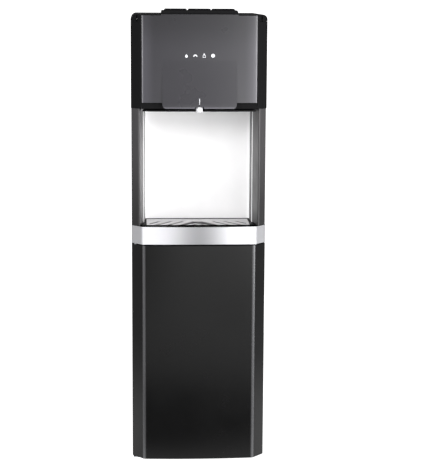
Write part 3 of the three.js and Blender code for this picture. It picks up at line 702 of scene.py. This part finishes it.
def column(name, node, side):
    (x0, x1), (front, back), z = span(node)
    out = x1 if side > 0 else -x0
    inner = x0 if side > 0 else -x1
    outline = [
        (out, -143, 5),
        (out, back, 0),
        (out - 9.7, back, 0),
        (inner + 6, back + 33.4, 0),
        (inner, back + 33.4, 1),
        (out - 17.9, front, 2.4),
    ]
    solid = extrude(name, [(side * x, y) for x, y in fillet(outline)], "z", z)
    hollow = [
        (out - 3, -141.8),
        (out - 3, back - 3),
        (out - 11.1, back - 3),
        (inner + 6.5, back + 27.4),
        (inner + 4.3, back + 27.4),
        (out - 16.5, -158.5),
    ]
    tool = extrude("hollow", [(side * x, y) for x, y in hollow], "z", (z[0] - 1, z[1] + 1))
    soften(cut(solid, tool), 0.5, 2)
    piece(solid, "column_grey", (node,))


def alcove():
    """The white wall with softly rounded corners and its two wings."""
    (x0, x1), (front, back), z = span("alcove_liner")
    t = 2.5
    outline = fillet(
        [
            (x0, front, 0),
            (x0 + t, front, 0),
            (x0 + t, back - t, 10),
            (x1 - t, back - t, 10),
            (x1 - t, front, 0),
            (x1, front, 0),
            (x1, back, 12),
            (x0, back, 12),
        ]
    )
    wall = extrude("alcove_wall", outline, "z", z)
    soften(wall, 0.6, 2)
    piece(wall, "alcove_white", ("alcove_liner",))


def spout():
    x, y, (z0, z1) = span("spout")
    radius = (x[1] - x[0]) / 2
    centre = (sum(x) / 2, sum(y) / 2, 0)
    outside = [(radius - 1.4, z0), (radius - 1, z0 + 0.5), (radius, z1 - 0.3), (radius - 0.3, z1)]
    inside = [(5.4, z1), (5, z1 - 0.4), (5, z0 + 0.6), (5.6, z0)]
    nozzle = lathe("spout_nozzle", [*outside, *inside, outside[0]], centre)
    piece(nozzle, "white_plastic", ("spout",))


column("column_left_shell", "column_left", -1)
column("column_right_shell", "column_right", 1)
alcove()
spout()
refined("alcove_roof", "black_plastic", 0.5)

# ---- Tray and grille -------------------------------------------------------------------


def tray():
    x, y, (z0, z1) = span("drip_tray")
    pan = extrude("drip_pan", rectangle(x, y, 4), "z", (z0, z1))
    well_x, well_y = (x[0] + 2, x[1] - 2), (y[0] + 2, y[1] - 2)
    cut(pan, extrude("well", rectangle(well_x, well_y, 3), "z", (z0 + 2, z1 + 1)))
    soften(pan, 0.7)
    piece(pan, "grey_plastic", ("drip_tray",), "tray")


tray()
refined("drip_grille", "silver_plastic", 0.9, "grille")
refined("tray_deck", "black_plastic", 0.6)

# ---- Keys and indicators ---------------------------------------------------------------


def key(node, body):
    (x0, x1), (y0, y1), (z0, z1) = span(node)
    shoulder = span("key_bezel")[2][1]
    face = [(x0, shoulder - 7), (x1, shoulder - 7), (x1, shoulder), (x1 - 2, z1)]
    cap = extrude("cap_" + node, [*face, (x0 + 2, z1), (x0, shoulder)], "y", (y0, y1))
    middle = (x0 + x1) / 2
    stem = block("stem", (middle - 4, middle + 4), (-150, -142), (z0, shoulder - 6))
    combine(cap, stem, "UNION")
    finger = lathe("dish", dish(60, 1.1), (middle, (y0 + y1) / 2 - 6, z1 + 58.9))
    cut(cap, finger)
    if node == "key_hot":
        lock_x, lock_y, lock_z = span("hot_lock")
        pocket_x = (lock_x[0] - 0.4, lock_x[1] + 0.4)
        pocket_y = (lock_y[0] - 0.4, lock_y[1] + 5)
        cut(cap, block("pocket", pocket_x, pocket_y, (lock_z[0] - 0.4, z1 + 5)))
    soften(cap, 0.9)
    piece(cap, "key_black", (node,), body)


def dish(radius, depth):
    """Profile of a shallow spherical cap, hanging below its centre."""
    reach = math.acos(1 - depth * 1.4 / radius)
    points = []
    for i in range(9):
        angle = reach * i / 8
        points.append((radius * math.sin(angle), -radius * math.cos(angle)))
    return [*points, (0, points[-1][1])]


def bezel():
    (x0, x1), (y0, y1), (z0, z1) = span("key_bezel")
    outline = [(x0, z0), (x1, z0), (x1 - 2, z1), (x0 + 2, z1)]
    frame_block = extrude("key_frame", outline, "y", (y0, y1))
    for i in (-1, 0, 1):
        x = (i * KEY_PITCH - 26.2, i * KEY_PITCH + 26.2)
        cut(frame_block, block("key_well", x, (-169, -110), (z0 - 1, z1 + 1)))
    soften(frame_block, 0.8)
    piece(frame_block, "black_plastic", ("key_bezel",))


def marker():
    """The narrow light in the hood's slit, above the spout."""
    _, y, z = span("spout_marker")
    bar = block("marker", (-MARKER_HALF, MARKER_HALF), y, z)
    piece(soften(bar, 0.2), "lens_white", ("spout_marker",))


key("key_hot", "hot_key")
key("key_room", "room_key")
key("key_cold", "cold_key")
bezel()
refined("hot_lock", "red_plastic", 0.35, "hot_key_lock")
marker()


def disc_outline(radius, steps=24):
    return arc(0, 0, radius, 0, 360 - 360 / steps, steps - 1)


def drop_outline():
    """A flame with a broad foot."""
    points = arc(0, -1.4, 3.1, 200, 340, 12)
    return [*points, (2.6, 0.4), (1.1, 1.5), (0.3, 4), (-1.2, 1.8), (-2.6, 0.4)]


def dome_outline():
    return [*arc(0, -2.4, 4.9, 0, 180, 20), (-3.5, -2.4), *arc(0, -2.4, 2.2, 180, 0, 10), (3.5, -2.4)]


def bottle_outline():
    right = [(1.1, 4.8), (1.1, 2.9), (3, 1), (3, -4.4)]
    return [*right, *[(-x, z) for x, z in reversed(right)]]


def indicator(node, outline, hole=None):
    """A lit mark in the shape of its meaning, set in the front panel."""
    x, (_, y1), z = span(node)
    cx, cz = sum(x) / 2, sum(z) / 2
    y0 = PANEL_FACE + fall(cx, HEAD_HALF) - 0.3
    mark = extrude(node + "_mark", [(cx + a, cz + b) for a, b in outline], "y", (y0, y1))
    if hole:
        tool = [(cx + a, cz + b) for a, b in hole]
        cut(mark, extrude("hole", tool, "y", (y0 - 1, y1 + 1)))
    soften(mark, 0.15, 2, 60)
    piece(mark, "lens_white", (node,))


indicator("indicator_heating", drop_outline())
indicator("indicator_ready", dome_outline())
indicator("indicator_bottle", bottle_outline(), rectangle((-2, 2), (-3.5, 0.8), 0.5))
indicator("indicator_cooling", disc_outline(4.3))

# ---- Bay, feet and machinery -----------------------------------------------------------


def turned(node, slot, profile, body="cabinet", axis="z", steps=56):
    """A round piece on the middle of its node, with its profile in machine heights."""
    x, y, _ = span(node)
    centre = (sum(x) / 2, sum(y) / 2, 0)
    obj = lathe("turned_" + node, profile, centre, axis, steps)
    return piece(obj, slot, (node,), body)


def foot(node):
    x, _, (z0, z1) = span(node)
    radius = (x[1] - x[0]) / 2
    sides = [(radius - 2, z0), (radius - 0.5, z0 + 0.5), (radius, z0 + 2), (radius, z1 - 1.5)]
    top = [(radius - 1.5, z1), (0, z1)]
    turned(node, "rubber", [(0, z0 + 1), (radius - 3, z0 + 1), *sides, *top])


def bottle_pad():
    _, _, (z0, z1) = span("bottle_pad")
    profile = [(0, z0), (127.4, z0), (128, z0 + 0.6), (128, z1 - 0.8), (127.2, z1), (124.8, z1)]
    profile += [(124, z1 - 0.6), (122, z0 + 3)]
    for ring in range(7):
        r = 112 - ring * 16
        profile += [(r + 3, z0 + 3), (r + 2, z0 + 4.4), (r - 2, z0 + 4.4), (r - 3, z0 + 3)]
    turned("bottle_pad", "grey_plastic", [*profile, (0, z0 + 3)], steps=96)


def probe():
    _, _, (z0, z1) = span("probe")
    tip = [(0, z0), (3, z0), (4.6, z0 + 1.2), (6.6, z0 + 9), (7, z0 + 12), (7, 440)]
    cap = [(19.2, 440), (20, 440.8), (20, 463), (19.2, 464), (12.6, 465.8), (11.4, 466.6)]
    turned("probe", "white_plastic", [*tip, *cap, (6.4, z1 - 0.6), (5.8, z1), (0, z1)])


def compressor():
    x, y = (-68, 62)
    z = 556
    shell = [(0, z), (50, z), (56, z + 4), (60, z + 12), (61.6, z + 36), (63.4, z + 60)]
    dome = [(63.4, z + 66), (61.6, z + 68), (60, z + 118), (57, z + 131), (48, z + 146)]
    shell += [*dome, (36, z + 152), (24, z + 155), (12, z + 157), (0, z + 158)]
    can = lathe("compressor_can", shell, (x, y, 0))
    plate = extrude("plate", rectangle((-138, 2), (18, 106), 12), "z", (z - 6, z + 3))
    combine(can, plate, "UNION")
    for leg_x in (-126, -10):
        for leg_y in (28, 96):
            profile = [(0, 542.4), (8, 542.4), (8, 546), (6.4, 547), (6.4, 549), (8, 550)]
            leg = lathe("leg", [*profile, (8, z - 2), (0, z - 2)], (leg_x, leg_y, 0), steps=24)
            combine(can, leg, "UNION")
    soften(can, 0.8, 2, 50)
    piece(can, "painted_steel", ("compressor",))


def hot_tank():
    z = 602
    low = [(0, z), (34, z), *arc(38, z + 8, 8, -80, 0, 6)]
    high = [*arc(38, z + 132, 8, 0, 80, 6), (10, z + 140), (10, z + 144), (0, z + 144)]
    tank = lathe("hot_tank_body", [*low, *high], (88, 58, 0))
    for x, y in ((118, 58), (73, 84), (73, 32)):
        leg = lathe("leg", [(0, 542.4), (4, 542.4), (4, z + 5), (0, z + 5)], (x, y, 0), steps=20)
        combine(tank, leg, "UNION")
    piece(tank, "stainless_steel", ("hot_tank",))


def condenser():
    """The tube winds up the back, and thin wires are welded across it."""
    y0 = span("condenser")[1][0]
    half, z0, z1, passes, wires = 122, 70, 500, 9, 26
    step = (z1 - z0) / (passes - 1)
    y = y0 + 2.5
    reach = half - 2.5 - step / 2
    path = [(-reach - step / 2, y, z0)]
    for i in range(passes):
        z = z0 + i * step
        side = -1 if i % 2 else 1
        path.append((side * reach, y, z))
        if i < passes - 1:
            for x, h in arc(0, z + step / 2, step / 2, -90, 90, 12):
                path.append((side * (reach + x), y, h))
            path.append((side * reach, y, z + step))
    pipe = tube("coil_pipe", [path], 2.4)
    lines = []
    for i in range(1, wires):
        x = -half + i * 2 * half / wires
        lines.append([(x, y + 2.9, z0 - 12), (x, y + 2.9, z1 + 12)])
        if i % 2:
            continue
        lines.append([(x + 3, y - 1.7, z0 - 12), (x + 3, y - 1.7, z1 + 12)])
    grid = tube("coil_wires", lines, 0.75, 3)
    piece(pipe, "painted_steel", ("condenser",))
    piece(grid, "painted_steel")


def drain():
    x, (y0, y1), z = span("drain_cap")
    profile = [(0, 12), (9, 12), (10, 11), (10.6, 5), (11, 0.6), (10.4, 0)]
    inside = [(7.6, 0), (7.6, 8), (0, 8)]
    outline = [(r, y0 + h) for r, h in (*profile, *inside)]
    cap = lathe("drain_cap_turned", outline, (sum(x) / 2, 0, sum(z) / 2), "y", 48)
    for i in range(16):
        angle = math.pi * i / 8
        at = (sum(x) / 2 + 11.2 * math.cos(angle), 0, sum(z) / 2 + 11.2 * math.sin(angle))
        groove = lathe("groove", [(0, y0 + 2), (1.1, y0 + 2), (1.1, y1 + 1), (0, y1 + 1)], at, "y", 10)
        cut(cap, groove)
    soften(cap, 0.25, 2, 40)
    piece(cap, "red_plastic", ("drain_cap",), "drain_plug")


def cold_tank():
    _, _, (z0, z1) = span("cold_tank")
    outside = [(0, z0), (62, z0), *arc(66, z0 + 10, 10, -80, 0, 6), (76, z1 - 1), (75, z1)]
    inside = [(74, z1 - 1), (74, z0 + 11), (64, z0 + 2), (0, z0 + 2)]
    turned("cold_tank", "stainless_steel", [*outside, *inside], steps=72)


def hose():
    x, y, (z0, z1) = span("probe_hose")
    cx, cy = sum(x) / 2, sum(y) / 2
    pipe = tube("probe_pipe", [[(cx, cy, z0), (cx, cy, z1)]], 4, 5)
    piece(pipe, "clear_hose", ("probe_hose",))


def back_fittings():
    x, (y0, y1), z = span("drain_spigot")
    flange = y1 - 10
    outline = [(4.5, y0), (7, y0), (7, flange + 0.4), (11.4, flange + 0.4), (12, flange + 1)]
    outline += [(12, flange + 2.4), (11.4, flange + 3), (7, flange + 3), (7, y1 - 0.8)]
    outline += [(6.2, y1), (4.5, y1), (4.5, y0)]
    spigot = lathe("spigot_turned", outline, (sum(x) / 2, 0, sum(z) / 2), "y", 40)
    piece(spigot, "white_plastic", ("drain_spigot",))
    x, (y0, y1), z = span("cord_gland")
    seat = y1 - 13.6
    outline = [(0, y0), (7.2, y0), (7.2, seat), (11.6, seat), (12, seat + 0.5), (11, seat + 3.2)]
    outline += [(10.2, seat + 3.6), (7, seat + 3.6), (6.4, y1 - 1), (5.6, y1), (4.4, y1)]
    outline += [(4, y1 - 0.6), (4, y0 + 4), (0, y0 + 4)]
    gland = lathe("gland_turned", outline, (sum(x) / 2, 0, sum(z) / 2), "y", 40)
    piece(gland, "rubber", ("cord_gland",))


cold_tank()
hose()
back_fittings()
for foot_name in ("foot_front_left", "foot_front_right", "foot_rear_left", "foot_rear_right"):
    foot(foot_name)
bottle_pad()
probe()
compressor()
hot_tank()
condenser()
drain()
REFINED = {
    "base_pan": ("painted_steel", 0.8),
    "side_panel_left": ("painted_steel", 0.8),
    "side_panel_right": ("painted_steel", 0.8),
    "rear_panel": ("painted_steel", 0.5),
    "bay_liner": ("grey_plastic", 0.8),
    "bay_ceiling": ("grey_plastic", 0.5),
    "probe_holder": ("grey_plastic", 0.6),
    "mid_shelf": ("galvanised_steel", 0.3),
    "tank_shelf": ("galvanised_steel", 0.3),
    "valve_block": ("white_plastic", 1.5),
    "cold_foam": ("foam", 3),
    "pump": ("black_plastic", 2.5),
    "wall_spacer_left": ("black_plastic", 1),
    "wall_spacer_right": ("black_plastic", 1),
    "switch_plate": ("black_plastic", 0.6),
    "switch_hot": ("red_plastic", 0.5),
    "switch_cold": ("switch_green", 0.5),
    "strike_plate": ("galvanised_steel", 0.4),
    "hinge_lower": ("galvanised_steel", 0.4),
    "hinge_upper": ("galvanised_steel", 0.4),
}
BODY_OF = {"switch_hot": "hot_switch", "switch_cold": "cold_switch"}
for node_name, (slot_name, width) in REFINED.items():
    refined(node_name, slot_name, width, BODY_OF.get(node_name, "cabinet"))

# ---- Stage, light and camera -----------------------------------------------------------


def stage_floor():
    """Pale paper that glows like a light table, with a painted shadow of the machine as a dim pool in
    front of it, and less glow far out to either side.
    """
    bm = bmesh.new()
    bmesh.ops.create_circle(bm, cap_ends=True, segments=96, radius=PAPER_RADIUS)
    floor = finish_mesh("stage_floor", bm)
    look = Shader("stage_paper", (0.88, 0.88, 0.88), 0.9).mottle(0.01, 1)
    look.set(Emission_Color=(1, 1, 1, 1))
    # painted shadow: the glow drops in a pool in front of the machine
    glow = look.pool((-0.15, -0.6), (0.9, 0.5), (0.0, 1.25))
    glow = look.math("MULTIPLY", glow, look.math("MULTIPLY_ADD", look.side(0.5, 1.2, 0.2), -0.72, 1.0))
    look.links.new(glow, look.bsdf.inputs["Emission Strength"])
    floor.data.materials.append(look.material)
    return floor


def studio_world():
    """A dim room in front of the machine and a paler one behind it."""
    world = bpy.data.worlds.new("studio")
    bpy.context.scene.world = world
    world.use_nodes = True
    nodes, links = world.node_tree.nodes, world.node_tree.links
    where = nodes.new("ShaderNodeTexCoord").outputs["Generated"]
    split = nodes.new("ShaderNodeSeparateXYZ")
    links.new(where, split.inputs["Vector"])
    ramp = nodes.new("ShaderNodeMapRange")
    ramp.interpolation_type = "SMOOTHSTEP"
    ramp.inputs["From Min"].default_value = 0.4
    ramp.inputs["From Max"].default_value = 0.9
    ramp.inputs["To Min"].default_value = 0.14
    ramp.inputs["To Max"].default_value = 0.3
    links.new(split.outputs["Y"], ramp.inputs["Value"])
    background = nodes["Background"]
    background.inputs["Color"].default_value = (1, 1, 1, 1)
    links.new(ramp.outputs["Result"], background.inputs["Strength"])


def place_lamp(name, data, place, aim):
    lamp = bpy.data.objects.new(name, data)
    bpy.context.scene.collection.objects.link(lamp)
    lamp.location = place
    lamp.rotation_euler = (Vector(aim) - Vector(place)).to_track_quat("-Z", "Y").to_euler()
    lamp.visible_camera = False
    return lamp


def softbox(name, size, place, aim, power):
    """A soft lamp that lights the machine and leaves the paper alone."""
    data = bpy.data.lights.new(name, "AREA")
    data.shape = "RECTANGLE"
    data.size, data.size_y = size
    data.energy = power
    place_lamp(name, data, place, aim).light_linking.receiver_collection = NOT_PAPER


def add_camera():
    data = bpy.data.cameras.new("camera")
    data.lens = LENS
    data.clip_end = FARTHEST
    camera = bpy.data.objects.new("camera", data)
    bpy.context.scene.collection.objects.link(camera)
    camera.location = CAMERA_PLACE
    pitch, yaw, roll = (math.radians(a) for a in (PITCH, YAW, ROLL))
    aim = Euler((math.pi / 2 - pitch, 0, -yaw)).to_matrix()
    camera.rotation_euler = (aim @ Matrix.Rotation(roll, 3, "Z")).to_euler()
    bpy.context.scene.camera = camera


NOT_PAPER = bpy.data.collections.new("not_paper")
NOT_PAPER.objects.link(stage_floor())
NOT_PAPER.collection_objects[0].light_linking.link_state = "EXCLUDE"
studio_world()
softbox("softbox_left", (1.2, 2.0), (-1.7, -1.75, 1.25), (-0.1, 0, 0.8), 14)
softbox("softbox_right", (1.1, 2.2), (1.1, -2.2, 1.1), (0.1, 0, 0.8), 22)
softbox("low_fill", (1.6, 0.6), (0.5, -3.1, 0.32), (0, 0, 0.75), 8)
softbox("side_right", (1.4, 1.7), (2.0, -1.3, 0.85), (0, 0, 0.6), 66)
softbox("side_left", (1.0, 1.1), (-2.0, -1.4, 1.25), (0, 0, 0.8), 32)
softbox("key", (1.8, 0.9), (-0.1, -3.0, 2.1), (0, 0, 0.7), 20)
add_camera()
bpy.context.scene.view_settings.view_transform = "Standard"
